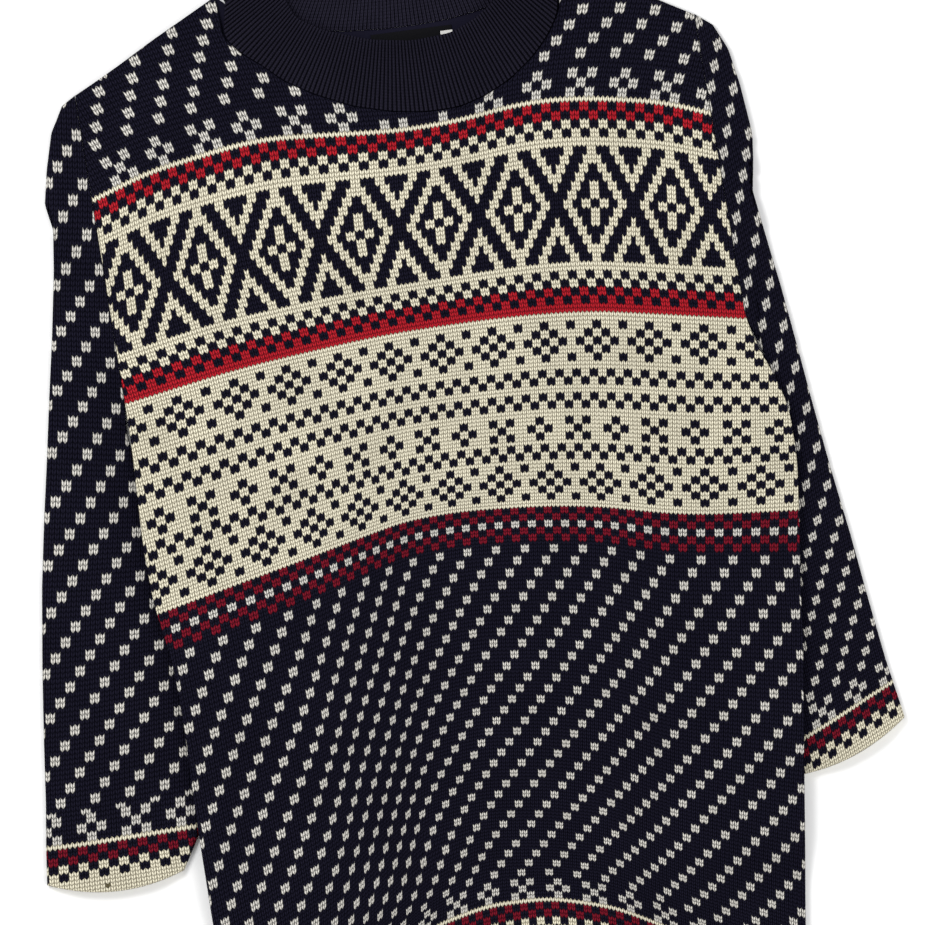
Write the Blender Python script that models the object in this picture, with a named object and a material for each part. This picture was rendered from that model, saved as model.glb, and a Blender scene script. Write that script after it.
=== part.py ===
"""Norwegian sweater laid flat, front up: front, back, two sleeves, ribbed collar, neck label and size tag.

Metres, +Z up. The wearer's up is +Y and the wearer's left is +X. The underside lies at z = 0 and the origin
is under the middle of the garment. Tables are in millimetres, measured from a point on the chest.
"""

import math

import bpy

MM = 0.001

# Driving dimensions, in millimetres
WALL = 2.8            # one layer of stranded knitting
SEAM_GAP = 0.3        # left open where two pieces are sewn together
SLEEVE_FLAT = 6.2     # a sleeve pressed flat, two layers
TUCK_LIFT = 7.9       # how high the body's side lies over the sleeve beneath it
TUCK_SLOPE = 38.0     # across this width the body comes down again to the surface
TUCK_REACH = 4.0      # from this far inside the sleeve's hidden edge
TUCK_ABOVE = 13.0     # the lift is full up to this far above the underarm
TUCK_ABOVE_LENGTH = 110.0
TUCK_BELOW = 75.0     # and is gone this far below the cuffs
TUCK_BELOW_LENGTH = 50.0
LOFT = 1.8            # air between front and back in the middle of the body
LOFT_EDGE = 45.0      # the front reaches its loft this far in from its side
LOFT_TOP = 40.0       # and this far down from its upper edge
SLEEVE_PUFF = 3.6     # how much a sleeve swells where the body doesn't press on it
PUFF_CLEAR = 6.0      # the swelling starts this far from the body's side
PUFF_SLOPE = 22.0     # and grows over this width
PUFF_EDGE = 26.0      # and over this width from the sleeve's own edges
PUFF_SECTIONS = 3     # and over this many sections from the armhole
COLLAR_WALL = 4.4     # ribbed band, folded double
COLLAR_CLEAR = 0.6    # between the collar's front and back at its side folds
COLLAR_RISE = 7.0     # the front rim stands up this much in the middle
NECK_RISE = 3.0       # the front's neckline stands up with the collar
NECK_SLOPE = 70.0     # and comes down again over this length
RIB_HEIGHT = 0.5      # a rib's ridge over the wall's middle line
FRONT_RIBS = 104
BACK_RIBS = 84
FOLD_STEPS = 4        # columns around each side fold of the collar
LABEL_SIZE = (57.0, 25.0, 0.6)
LABEL_TOP = (13.0, 314.0)
TAG_SIZE = (8.5, 16.0, 0.5)
TAG_TOP = (37.5, 310.5)

# Side of the body: height, left edge, right edge
BODY_SIDES = [
    (299, -226, 211),
    (82, -219.5, 219),
    (60, -219, 226),
    (38, -219, 235),
    (18, -219.5, 241),
    (-20, -220, 242),
    (-60, -218, 238),
    (-105, -210, 233),
    (-150, -208, 229),
    (-215, -208, 221),
    (-290, -206, 212),
    (-345, -203, 205),
    (-440, -200, 198),
]

# Columns of the front and back: place across, height of the front's upper edge, height of the back's
BODY_TOP = [
    (-226, 299, 299),
    (-212, 306, 306),
    (-193, 316, 316),
    (-168, 330, 330),
    (-143, 343, 343),
    (-120, 355, 355),
    (-118, 326, 353),
    (-107, 313, 343),
    (-94, 303, 335),
    (-80, 290, 329),
    (-60, 278, 323),
    (-34, 266, 319),
    (-6, 258.5, 317),
    (18, 255.5, 317),
    (40, 256, 318),
    (60, 262, 321),
    (78, 271, 325),
    (95, 284, 330),
    (108, 298, 336),
    (118, 315, 344),
    (122, 347, 347),
    (146, 335, 335),
    (168, 324, 324),
    (188, 312, 312),
    (202, 304, 304),
    (211, 299, 299),
]
NECK = (-120.0, 122.0)
UNDERARM = 82.0
CUFF_LEVEL = -243.0
ROWS_ABOVE = 8        # rows of points from the shoulder to the underarm
ROWS_BELOW = 16       # rows of points from the underarm to the hem

# Hem: place across, height of the turned edge
HEM = [(-203, -438), (-150, -404), (-90, -367), (-35, -342), (20, -335), (80, -350), (140, -383), (200, -420)]

# Soft folds in the front: both ends, half width and height
FRONT_FOLDS = [
    ((-92, -60), (-38, -362), 46, 4.2),
    ((-20, -150), (24, -350), 34, -1.6),
    ((150, -30), (96, -250), 40, 1.8),
    ((-196, 176), (-150, 120), 22, 1.8),
    ((196, 172), (168, 96), 24, 2.2),
    ((-100, 235), (-40, 215), 34, 1.2),
]

# Sleeve sections from armhole to cuff: outer edge x y, inner edge x y, share of the body's lift,
# bow towards the cuff
RIGHT_SLEEVE = [
    (-226.0, 299, -219.5, 82, 1.00, 0),
    (-236.0, 293, -220.4, 75, 0.80, 0),
    (-246.0, 275, -220.6, 66, 0.45, 0),
    (-252.5, 250, -220.8, 55, 0.05, 1),
    (-257.0, 226, -217, 40, 0.00, 2),
    (-253.5, 208, -211, 24, 0.00, 3),
    (-257.0, 178, -205, 4, 0.00, 4),
    (-264.0, 134, -199, -22, 0.00, 5),
    (-271.5, 92, -193, -50, 0.00, 6),
    (-279.0, 48, -189, -80, 0.00, 6),
    (-286.5, 6, -188, -110, 0.00, 6),
    (-294.0, -40, -190, -140, 0.00, 6),
    (-301.0, -95, -194, -170, 0.00, 7),
    (-306.5, -145, -199, -196, 0.00, 8),
    (-311.0, -190, -204, -215, 0.00, 9),
    (-315.0, -222, -208, -226, 0.00, 11),
    (-317.5, -246.5, -221, -248.5, 0.00, 9.5),
]
LEFT_SLEEVE = [
    (211.0, 299, 219.0, 82, 1.00, 0),
    (223.0, 290, 222.3, 75, 0.80, 0),
    (231.5, 272, 225.5, 66, 0.45, 0),
    (236.5, 246, 229.4, 55, 0.05, 1),
    (240.5, 212, 228, 38, 0.00, 2),
    (239.0, 196, 221, 20, 0.00, 3),
    (235.5, 172, 213, 0, 0.00, 4),
    (241.0, 136, 204, -24, 0.00, 5),
    (246.5, 102, 197, -50, 0.00, 6),
    (252.0, 62, 192, -78, 0.00, 6),
    (257.5, 20, 188, -106, 0.00, 6),
    (264.0, -26, 186, -134, 0.00, 6),
    (272.0, -76, 186, -164, 0.00, 7),
    (279.0, -126, 187, -194, 0.00, 8),
    (285.0, -166, 188, -217, 0.00, 9),
    (290.0, -192, 189, -229, 0.00, 10),
    (293.0, -208, 190, -238, 0.00, 11),
]
# Places across a sleeve's section between its two edges: share of the width
SLEEVE_SHARES = [0.022, 0.09, 0.2, 0.32, 0.45, 0.58, 0.7, 0.82, 0.93, 0.978]
EDGE_ROUND = 0.5      # how much thinner a sleeve is beside its edge

# Rim of the collar, from its fold on the wearer's right to the one on the wearer's left: x, y
FRONT_RIM = [(-76, 371), (-72, 348), (-66, 333), (-48, 322), (-16, 311), (13, 306.5), (41, 308.5), (60, 317),
             (76, 329), (83, 346), (85, 367)]
BACK_RIM = [(-76, 371), (-40, 374), (7, 374), (50, 372), (85, 367)]
COLLAR_FOLD_INSET = 6.5
COLLAR_CORNER_DROP = 5.0   # the collar's corners lie this far below the neck's
COLLAR_CORNER_CLEAR = 4.0  # the back seam bends this far inside its corners
FRONT_SEAM_INSET = 0.5
FRONT_SEAM_TOP = 340.0
BACK_SEAM_INSET = 0.7
NECK_CENTRE = (4.0, 345.0)
# Rows of the collar from seam to rim: share of its height, share of the wall's thickness
COLLAR_OUTSIDE = [(0.0, 1.0), (0.5, 1.0), (0.94, 1.0), (1.0, 0.5)]
COLLAR_INSIDE = [(0.0, 1.0), (0.94, 1.0), (1.0, 0.5)]

FINISHES = {
    "navy_wool": ((0.012, 0.012, 0.024), 0.92),
    "collar_wool": ((0.018, 0.018, 0.030), 0.93),
    "label_cloth": ((0.010, 0.010, 0.012), 0.70),
    "tag_cloth": ((0.80, 0.79, 0.76), 0.75),
}


def clear_scene():
    for thing in list(bpy.data.objects):
        bpy.data.objects.remove(thing, do_unlink=True)


def read(table, x, column=1):
    """A table's column at x, straight between its rows, whichever way the rows run."""
    rows = table if table[0][0] <= table[-1][0] else table[::-1]
    if x <= rows[0][0]:
        return rows[0][column]
    for low, high in zip(rows, rows[1:]):
        if x <= high[0]:
            share = (x - low[0]) / (high[0] - low[0])
            return low[column] + (high[column] - low[column]) * share
    return rows[-1][column]


def ease(t):
    t = min(1.0, max(0.0, t))
    return t * t * (3.0 - 2.0 * t)


def blend(a, b, share):
    return tuple(p + (q - p) * share for p, q in zip(a, b))


def body_edges(y):
    return read(BODY_SIDES, y, 1), read(BODY_SIDES, y, 2)


def sleeve_inner_edge(sleeve, y):
    """Where a sleeve's hidden edge lies beneath the body at height y."""
    return read([(row[3], row[2]) for row in sleeve], y)


def tuck(x, y):
    """How high the body lies at a place, because of the sleeves beneath its sides."""
    left, right = body_edges(y)
    reach_right = max(sleeve_inner_edge(RIGHT_SLEEVE, y), left) + TUCK_REACH
    reach_left = min(sleeve_inner_edge(LEFT_SLEEVE, y), right) - TUCK_REACH
    over_right = 1.0 - ease((x - reach_right) / TUCK_SLOPE)
    over_left = 1.0 - ease((reach_left - x) / TUCK_SLOPE)
    above = 1.0 - ease((y - UNDERARM - TUCK_ABOVE) / TUCK_ABOVE_LENGTH)
    below = ease((y - CUFF_LEVEL + TUCK_BELOW) / TUCK_BELOW_LENGTH)
    return TUCK_LIFT * above * below * max(over_right, over_left)


def fold_height(x, y):
    total = 0.0
    for (x0, y0), (x1, y1), half_width, height in FRONT_FOLDS:
        along = ((x - x0) * (x1 - x0) + (y - y0) * (y1 - y0)) / ((x1 - x0) ** 2 + (y1 - y0) ** 2)
        along = min(1.0, max(0.0, along))
        away = math.hypot(x - x0 - (x1 - x0) * along, y - y0 - (y1 - y0) * along)
        ends = 0.35 + 0.65 * math.sin(math.pi * (0.12 + 0.76 * along))
        total += height * ends * (1.0 - ease(away / half_width))
    return total


def front_loft(x, y):
    """Air between the front and the back: none at the seams, most in the middle and along the folds."""
    left, right = body_edges(y)
    from_side = ease((x - left) / LOFT_EDGE) * ease((right - x) / LOFT_EDGE)
    from_top = ease((read(BODY_TOP, x, 2) - y) / LOFT_TOP)
    across = (x - NECK[0]) / (NECK[1] - NECK[0])
    neck = 0.0
    if 0.0 < across < 1.0:
        neck = math.sin(math.pi * across) ** 0.7 * (1.0 - ease((read(BODY_TOP, x) - y) / NECK_SLOPE))
    return max(0.0, from_side * from_top * (LOFT + fold_height(x, y))) + NECK_RISE * neck


def body_grid(top_column, height):
    """Rows of points from the upper edge down to the hem, each one a table column of the body."""
    left, right = BODY_TOP[0][0], BODY_TOP[-1][0]
    hem_left, hem_right = HEM[0][0], HEM[-1][0]
    rows = []
    for i in range(ROWS_ABOVE + ROWS_BELOW + 1):
        row = []
        for column in BODY_TOP:
            share = (column[0] - left) / (right - left)
            upper = column[top_column]
            lower = read(HEM, hem_left + (hem_right - hem_left) * share)
            if i <= ROWS_ABOVE:
                y = upper + (UNDERARM - upper) * i / ROWS_ABOVE
            else:
                y = UNDERARM + (lower - UNDERARM) * (i - ROWS_ABOVE) / ROWS_BELOW
            west, east = body_edges(y)
            x = west + (east - west) * share
            row.append((x, y, height(x, y)))
        rows.append(row)
    return rows


def panel(outer, inner):
    """A closed wall between two grids of the same size, the outer one on top."""
    rows, columns = len(outer), len(outer[0])
    points = [p for row in outer for p in row] + [p for row in inner for p in row]
    below = rows * columns
    faces = []
    for i in range(rows - 1):
        for j in range(columns - 1):
            a, b = i * columns + j, i * columns + j + 1
            c, d = b + columns, a + columns
            faces.append((a, d, c, b))
            faces.append((a + below, b + below, c + below, d + below))
    rim = [j for j in range(columns)]
    rim += [i * columns + columns - 1 for i in range(1, rows)]
    rim += [(rows - 1) * columns + j for j in range(columns - 2, -1, -1)]
    rim += [i * columns for i in range(rows - 2, 0, -1)]
    for a, b in zip(rim, rim[1:] + rim[:1]):
        faces.append((a, b, b + below, a + below))
    return points, faces


def tube(outer, inner):
    """A closed wall between two stacks of rings, open at both ends."""
    around = len(outer[0])
    points = [p for ring in outer for p in ring] + [p for ring in inner for p in ring]
    start = len(outer) * around
    faces = []
    for stack, base, flip in ((outer, 0, False), (inner, start, True)):
        for i in range(len(stack) - 1):
            for j in range(around):
                a, b = base + i * around + j, base + i * around + (j + 1) % around
                face = (a, b, b + around, a + around)
                faces.append(face[::-1] if flip else face)
    last_out, last_in = (len(outer) - 1) * around, start + (len(inner) - 1) * around
    for j in range(around):
        k = (j + 1) % around
        faces.append((k, j, start + j, start + k))
        faces.append((last_out + j, last_out + k, last_in + k, last_in + j))
    return points, faces


def plate(middle_top, size, base):
    """A thin cloth rectangle hanging from the middle of its upper edge."""
    (cx, top), (width, height, thick) = middle_top, size
    upper, lower = [], []
    for y in (top, top - height):
        upper.append([(cx + side * width / 2, y, base + thick) for side in (-1, -0.4, 0.4, 1)])
        lower.append([(cx + side * width / 2, y, base) for side in (-1, -0.4, 0.4, 1)])
    return panel(upper, lower)


def add_front():
    def inside(x, y):
        return tuck(x, y) + WALL + SEAM_GAP + front_loft(x, y)

    return panel(body_grid(1, lambda x, y: inside(x, y) + WALL), body_grid(1, inside))


def add_back():
    return panel(body_grid(2, lambda x, y: tuck(x, y) + WALL), body_grid(2, tuck))


def sleeve_rings(sleeve):
    """Outer and inner rings of one sleeve, a flattened tube that passes beneath the body's side."""
    outer, inner = [], []
    side = 1.0 if sleeve[0][0] > 0 else -1.0
    for number, (ox, oy, ix, iy, lifted, bow) in enumerate(sleeve):
        start_shift = 0.0 if number else side * SEAM_GAP
        width = math.hypot(ix - ox, iy - oy)
        down = ((iy - oy) / width * side, (ox - ix) / width * side)
        if down[1] > 0:
            down = (-down[0], -down[1])
        first = sleeve[0]

        def place(share, inset):
            s = inset / width + share * (1.0 - 2.0 * inset / width)
            x, y = blend((ox, oy), (ix, iy), s)
            swing = bow * (1.0 - (2.0 * s - 1.0) ** 2)
            x, y = x + down[0] * swing + start_shift, y + down[1] * swing
            root = blend(first[:2], first[2:4], s)
            left, right = body_edges(y)
            clear = (x - right) if side > 0 else (left - x)
            free = ease((clear - PUFF_CLEAR) / PUFF_SLOPE) * ease(number / PUFF_SECTIONS)
            edge = min(s, 1.0 - s) * width / PUFF_EDGE
            puff = SLEEVE_PUFF * free * ease(edge)
            return x, y, lifted * tuck(root[0], root[1]), puff

        ring_out, ring_in = [], []
        spots = [(0.0, 0)] + [(share, 1) for share in SLEEVE_SHARES]
        spots += [(1.0, 0)] + [(share, -1) for share in SLEEVE_SHARES[::-1]]
        for share, layer in spots:
            round_off = EDGE_ROUND if share in (SLEEVE_SHARES[0], SLEEVE_SHARES[-1]) else 0.0
            for ring, inset, half in ((ring_out, 0.0, SLEEVE_FLAT / 2 - round_off),
                                      (ring_in, WALL, SLEEVE_FLAT / 2 - WALL)):
                x, y, base, puff = place(share, inset)
                ring.append((x, y, base + SLEEVE_FLAT / 2 + layer * half + puff * max(layer, 0)))
        outer.append(ring_out)
        inner.append(ring_in)
    return outer, inner


def add_sleeve(sleeve):
    return tube(*sleeve_rings(sleeve))


def path_points(path, count):
    """Points spaced evenly along a bent line, both ends included."""
    lengths = [math.dist(a, b) for a, b in zip(path, path[1:])]
    total = sum(lengths)
    points = []
    for i in range(count):
        walk = total * i / (count - 1)
        for a, b, length in zip(path, path[1:], lengths):
            if walk <= length + 1e-9:
                points.append(blend(a, b, walk / length))
                break
            walk -= length
    return points


def inset_path(path, distance):
    """The same bent line moved to the neck's middle by a distance."""
    moved = []
    for before, here, after in zip([path[0]] + path, path, path[1:] + [path[-1]]):
        dx, dy = after[0] - before[0], after[1] - before[1]
        length = math.hypot(dx, dy)
        nx, ny = -dy / length, dx / length
        if nx * (NECK_CENTRE[0] - here[0]) + ny * (NECK_CENTRE[1] - here[1]) < 0:
            nx, ny = -nx, -ny
        moved.append((here[0] + nx * distance, here[1] + ny * distance))
    return moved


def collar_seams():
    """The collar's lower edge along the front and the back neckline, short of the shoulder corners."""
    neck = [row for row in BODY_TOP if NECK[0] <= row[0] <= NECK[1]]
    front = [(row[0], row[1]) for row in neck][1:-1]
    back = [(row[0], row[2]) for row in neck][1:-1]
    first = (neck[0][0] + COLLAR_FOLD_INSET, neck[0][1] - COLLAR_CORNER_DROP)
    last = (neck[-1][0] - COLLAR_FOLD_INSET, neck[-1][1] - COLLAR_CORNER_DROP)
    front = [p for p in inset_path(front, FRONT_SEAM_INSET) if p[1] < FRONT_SEAM_TOP]
    low, high = first[0] + COLLAR_CORNER_CLEAR, last[0] - COLLAR_CORNER_CLEAR
    back = [(x, y + BACK_SEAM_INSET) for x, y in back if low < x < high]
    return [first, *front, last], [first, *back, last]


def add_collar():
    radius = (COLLAR_WALL + COLLAR_CLEAR) / 2
    low = COLLAR_WALL / 2
    front_seam, back_seam = collar_seams()
    front_count, back_count = 2 * FRONT_RIBS + 1, 2 * BACK_RIBS + 1
    front = list(zip(path_points(front_seam, front_count), path_points(FRONT_RIM, front_count)))
    back = list(zip(path_points(back_seam, back_count), path_points(BACK_RIM, back_count)))[::-1]

    def columns(share):
        """Mid-wall points and outward directions once around the collar, at a share of its height."""
        ring = []
        for i, (seam, rim) in enumerate(front):
            x, y = blend(seam, rim, share)
            bump = max(0.0, math.sin(math.pi * i / (front_count - 1))) ** 0.7
            ring.append(((x, y, low + 2 * radius + COLLAR_RISE * bump * (0.15 + 0.85 * share)), (0, 0, 1)))
        for (seam, rim), to_back in ((front[-1], True), (front[0], False)):
            x, y = blend(seam, rim, share)
            along = (rim[0] - seam[0], rim[1] - seam[1])
            length = math.hypot(*along)
            out = (along[1] / length, -along[0] / length)
            if (out[0] < 0) == to_back:
                out = (-out[0], -out[1])
            fold = []
            for step in range(1, FOLD_STEPS):
                angle = math.pi * (0.5 - step / FOLD_STEPS)
                ca, sa = math.cos(angle), math.sin(angle)
                spot = (x + out[0] * radius * ca, y + out[1] * radius * ca, low + radius + radius * sa)
                fold.append((spot, (out[0] * ca, out[1] * ca, sa)))
            if to_back:
                ring += fold
                for seam_back, rim_back in back:
                    bx, by = blend(seam_back, rim_back, share)
                    ring.append(((bx, by, low), (0, 0, -1)))
            else:
                ring += fold[::-1]
        return ring

    def wall(rows, outward):
        stack = []
        for share, thickness in rows:
            ring = []
            for i, ((x, y, z), (nx, ny, nz)) in enumerate(columns(share)):
                offset = COLLAR_WALL / 2 * thickness * outward
                if outward > 0 and nz > -0.1:
                    offset += RIB_HEIGHT * (1 if i % 2 else -1) * (1.0 if share < 1.0 else 0.5)
                ring.append((x + nx * offset, y + ny * offset, z + nz * offset))
            stack.append(ring)
        return stack

    return tube(wall(COLLAR_OUTSIDE, 1.0), wall(COLLAR_INSIDE, -1.0))


def add_label():
    return plate(LABEL_TOP, LABEL_SIZE, WALL + SEAM_GAP)


def add_tag():
    return plate(TAG_TOP, TAG_SIZE, WALL + SEAM_GAP + LABEL_SIZE[2] + SEAM_GAP)


def finish(name):
    colour, roughness = FINISHES[name]
    material = bpy.data.materials.new(name)
    material.use_nodes = True
    shader = material.node_tree.nodes["Principled BSDF"]
    shader.inputs["Base Color"].default_value = (*colour, 1.0)
    shader.inputs["Roughness"].default_value = roughness
    shader.inputs["Metallic"].default_value = 0.0
    return material


def volume(points, faces):
    total = 0.0
    for face in faces:
        ax, ay, az = points[face[0]]
        for b, c in zip(face[1:], face[2:]):
            bx, by, bz = points[b]
            cx, cy, cz = points[c]
            total += ax * (by * cz - bz * cy) + ay * (bz * cx - bx * cz) + az * (bx * cy - by * cx)
    return total / 6.0


def make(name, shape, finish_name, centre, collection):
    """One object in metres, its faces turned outwards, placed so that the garment's middle is the origin."""
    points, faces = shape
    if volume(points, faces) < 0:
        faces = [face[::-1] for face in faces]
    mesh = bpy.data.meshes.new(name)
    mesh.from_pydata([(x * MM, y * MM, z * MM) for x, y, z in points], [], faces)
    mesh.update()
    mesh.materials.append(finish(finish_name))
    thing = bpy.data.objects.new(name, mesh)
    thing.location = (-centre[0] * MM, -centre[1] * MM, 0.0)
    collection.objects.link(thing)
    return thing


def main():
    clear_scene()
    collection = bpy.data.collections.new("norwegian_sweater")
    bpy.context.scene.collection.children.link(collection)
    shapes = {
        "back": (add_back(), "navy_wool"),
        "front": (add_front(), "navy_wool"),
        "sleeve_right": (add_sleeve(RIGHT_SLEEVE), "navy_wool"),
        "sleeve_left": (add_sleeve(LEFT_SLEEVE), "navy_wool"),
        "collar": (add_collar(), "collar_wool"),
        "neck_label": (add_label(), "label_cloth"),
        "size_tag": (add_tag(), "tag_cloth"),
    }
    every = [p for shape, _ in shapes.values() for p in shape[0]]
    centre = [(min(p[k] for p in every) + max(p[k] for p in every)) / 2 for k in (0, 1)]
    for name, (shape, finish_name) in shapes.items():
        make(name, shape, finish_name, centre, collection)


main()
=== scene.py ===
import math

import bmesh
import bpy
import numpy as np
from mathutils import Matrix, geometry


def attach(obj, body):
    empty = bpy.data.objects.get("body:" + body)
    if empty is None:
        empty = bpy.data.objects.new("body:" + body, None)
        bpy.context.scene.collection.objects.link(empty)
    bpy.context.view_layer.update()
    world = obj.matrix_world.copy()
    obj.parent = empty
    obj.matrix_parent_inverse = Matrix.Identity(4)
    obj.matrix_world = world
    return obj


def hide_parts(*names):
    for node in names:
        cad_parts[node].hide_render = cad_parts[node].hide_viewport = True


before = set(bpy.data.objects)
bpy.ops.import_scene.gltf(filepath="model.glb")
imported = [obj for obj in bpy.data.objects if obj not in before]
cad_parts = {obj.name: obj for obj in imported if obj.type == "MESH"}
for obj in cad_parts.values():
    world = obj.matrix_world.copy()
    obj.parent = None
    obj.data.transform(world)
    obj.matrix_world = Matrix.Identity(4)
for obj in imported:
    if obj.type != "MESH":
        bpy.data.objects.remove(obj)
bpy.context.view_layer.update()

# Tables are in millimetres from a point on the chest. boxCentre is the middle of the whole garment.
mm = 0.001
boxCentre = np.array([-12.25, -32.0])

# Front and back
body = {
    "wall": 2.8, "seamGap": 0.3, "sideEase": (-10, -5, 0, 5, 10),
    "tuckLift": 7.9,  # how high the side lies over the sleeve beneath it
    "tuckReach": 4.0, "tuckSlope": 38.0,
    "tuckAbove": 95.0, "tuckAboveLength": 110.0,  # heights between which the lift ends
    "tuckBelow": -318.0, "tuckBelowLength": 50.0,
    "loft": 1.8, "loftEdge": 45.0, "loftTop": 40.0,  # air between front and back
    "neck": (-120.0, 122.0), "neckRise": 3.0, "neckSlope": 70.0, "neckPower": 0.7,
    "flat": (0.463, 0.794), "hemSteps": 41, "hemEase": 2, "sideSteps": 90, "rimSpacing": 13.0,
    "foldLeast": 0.35, "foldEnd": 0.12,  # how far a soft fold dies down at its ends
    # both ends of each soft fold, its half width and height
    "folds": [
        ((-92, -60), (-38, -362), 46, 4.2), ((-20, -150), (24, -350), 34, -1.6),
        ((150, -30), (96, -250), 40, 1.8), ((-196, 176), (-150, 120), 22, 1.8),
        ((196, 172), (168, 96), 24, 2.2), ((-100, 235), (-40, 215), 34, 1.2)],
}

# Height, left edge, right edge
bodySides = np.array([
    (299, -226, 211), (82, -219.5, 219), (60, -219, 226), (38, -219, 235), (18, -219.5, 241),
    (-20, -220, 242), (-60, -218, 238), (-105, -210, 233), (-150, -208, 229), (-215, -208, 221),
    (-290, -206, 212), (-345, -203, 205), (-440, -200, 198)])[::-1]
# Place across, upper edge of the front, upper edge of the back
bodyTop = np.array([
    (-226, 299, 299), (-212, 306, 306), (-193, 316, 316), (-168, 330, 330), (-143, 343, 343),
    (-120, 355, 355), (-118, 326, 353), (-107, 313, 343), (-94, 303, 335), (-80, 290, 329), (-60, 278, 323),
    (-34, 266, 319), (-6, 258.5, 317), (18, 255.5, 317), (40, 256, 318), (60, 262, 321), (78, 271, 325),
    (95, 284, 330), (108, 298, 336), (118, 315, 344), (122, 347, 347), (146, 335, 335), (168, 324, 324),
    (188, 312, 312), (202, 304, 304), (211, 299, 299)])
# Place across, height of the turned edge
hemLine = np.array([
    (-203, -438), (-150, -404), (-90, -367), (-35, -342), (20, -335), (80, -350), (140, -383), (200, -420)])


# Left and right side of the body at a height, its corners eased
def bodyEdges(y):
    left, right = 0.0, 0.0
    for shift in body["sideEase"]:
        left = left + np.interp(y + shift, bodySides[:, 0], bodySides[:, 1]) / len(body["sideEase"])
        right = right + np.interp(y + shift, bodySides[:, 0], bodySides[:, 2]) / len(body["sideEase"])
    return left, right


def ease(t):
    t = np.clip(t, 0.0, 1.0)
    return t * t * (3.0 - 2.0 * t)


# How the sleeves lie, from armhole to cuff: outer edge x y, inner edge x y, share of the body's lift, and how
# far the section bows towards the cuff
rightSleeveRows = np.array([
    (-226, 299, -219.5, 82, 1, 0), (-236, 293, -220.4, 75, 0.8, 0), (-246, 275, -220.6, 66, 0.45, 0),
    (-252.5, 250, -220.8, 55, 0.05, 1), (-257, 226, -217, 40, 0, 2), (-253.5, 208, -211, 24, 0, 3),
    (-257, 178, -205, 4, 0, 4), (-264, 134, -199, -22, 0, 5), (-271.5, 92, -193, -50, 0, 6),
    (-279, 48, -189, -80, 0, 6), (-286.5, 6, -188, -110, 0, 6), (-294, -40, -190, -140, 0, 6),
    (-301, -95, -194, -170, 0, 7), (-306.5, -145, -199, -196, 0, 8), (-311, -190, -204, -215, 0, 9),
    (-315, -222, -208, -226, 0, 11), (-317.5, -246.5, -221, -248.5, 0, 9.5)])
leftSleeveRows = np.array([
    (211, 299, 219, 82, 1, 0), (223, 290, 222.3, 75, 0.8, 0), (231.5, 272, 225.5, 66, 0.45, 0),
    (236.5, 246, 229.4, 55, 0.05, 1), (240.5, 212, 228, 38, 0, 2), (239, 196, 221, 20, 0, 3),
    (235.5, 172, 213, 0, 0, 4), (241, 136, 204, -24, 0, 5), (246.5, 102, 197, -50, 0, 6),
    (252, 62, 192, -78, 0, 6), (257.5, 20, 188, -106, 0, 6), (264, -26, 186, -134, 0, 6),
    (272, -76, 186, -164, 0, 7), (279, -126, 187, -194, 0, 8), (285, -166, 188, -217, 0, 9),
    (290, -192, 189, -229, 0, 10), (293, -208, 190, -238, 0, 11)])


# How high the body's side lies because of the sleeve beneath it
def tuck(x, y):
    left, right = bodyEdges(y)
    innerRight = np.interp(y, rightSleeveRows[::-1, 3], rightSleeveRows[::-1, 2])
    innerLeft = np.interp(y, leftSleeveRows[::-1, 3], leftSleeveRows[::-1, 2])
    overRight = 1.0 - ease((x - np.maximum(innerRight, left) - body["tuckReach"]) / body["tuckSlope"])
    overLeft = 1.0 - ease((np.minimum(innerLeft, right) - body["tuckReach"] - x) / body["tuckSlope"])
    above = 1.0 - ease((y - body["tuckAbove"]) / body["tuckAboveLength"])
    below = ease((y - body["tuckBelow"]) / body["tuckBelowLength"])
    return body["tuckLift"] * above * below * np.maximum(overRight, overLeft)


def foldHeight(x, y):
    total = 0.0
    for (x0, y0), (x1, y1), halfWidth, height in body["folds"]:
        dx, dy = x1 - x0, y1 - y0
        along = np.clip(((x - x0) * dx + (y - y0) * dy) / (dx * dx + dy * dy), 0.0, 1.0)
        away = np.hypot(x - x0 - dx * along, y - y0 - dy * along)
        wave = np.sin(math.pi * (body["foldEnd"] + (1.0 - 2.0 * body["foldEnd"]) * along))
        ends = body["foldLeast"] + (1.0 - body["foldLeast"]) * wave
        total = total + height * ends * (1.0 - ease(away / halfWidth))
    return total


# Height of the front's inner face
def frontInside(x, y):
    left, right = bodyEdges(y)
    fromSide = ease((x - left) / body["loftEdge"]) * ease((right - x) / body["loftEdge"])
    fromTop = ease((np.interp(x, bodyTop[:, 0], bodyTop[:, 2]) - y) / body["loftTop"])
    neckRight, neckLeft = body["neck"]
    across = np.clip((x - neckRight) / (neckLeft - neckRight), 0.0, 1.0)
    neck = np.abs(np.sin(math.pi * across)) ** body["neckPower"]
    neck = neck * (1.0 - ease((np.interp(x, bodyTop[:, 0], bodyTop[:, 1]) - y) / body["neckSlope"]))
    loft = np.maximum(0.0, fromSide * fromTop * (body["loft"] + foldHeight(x, y))) + body["neckRise"] * neck
    return tuck(x, y) + body["wall"] + body["seamGap"] + loft


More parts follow.
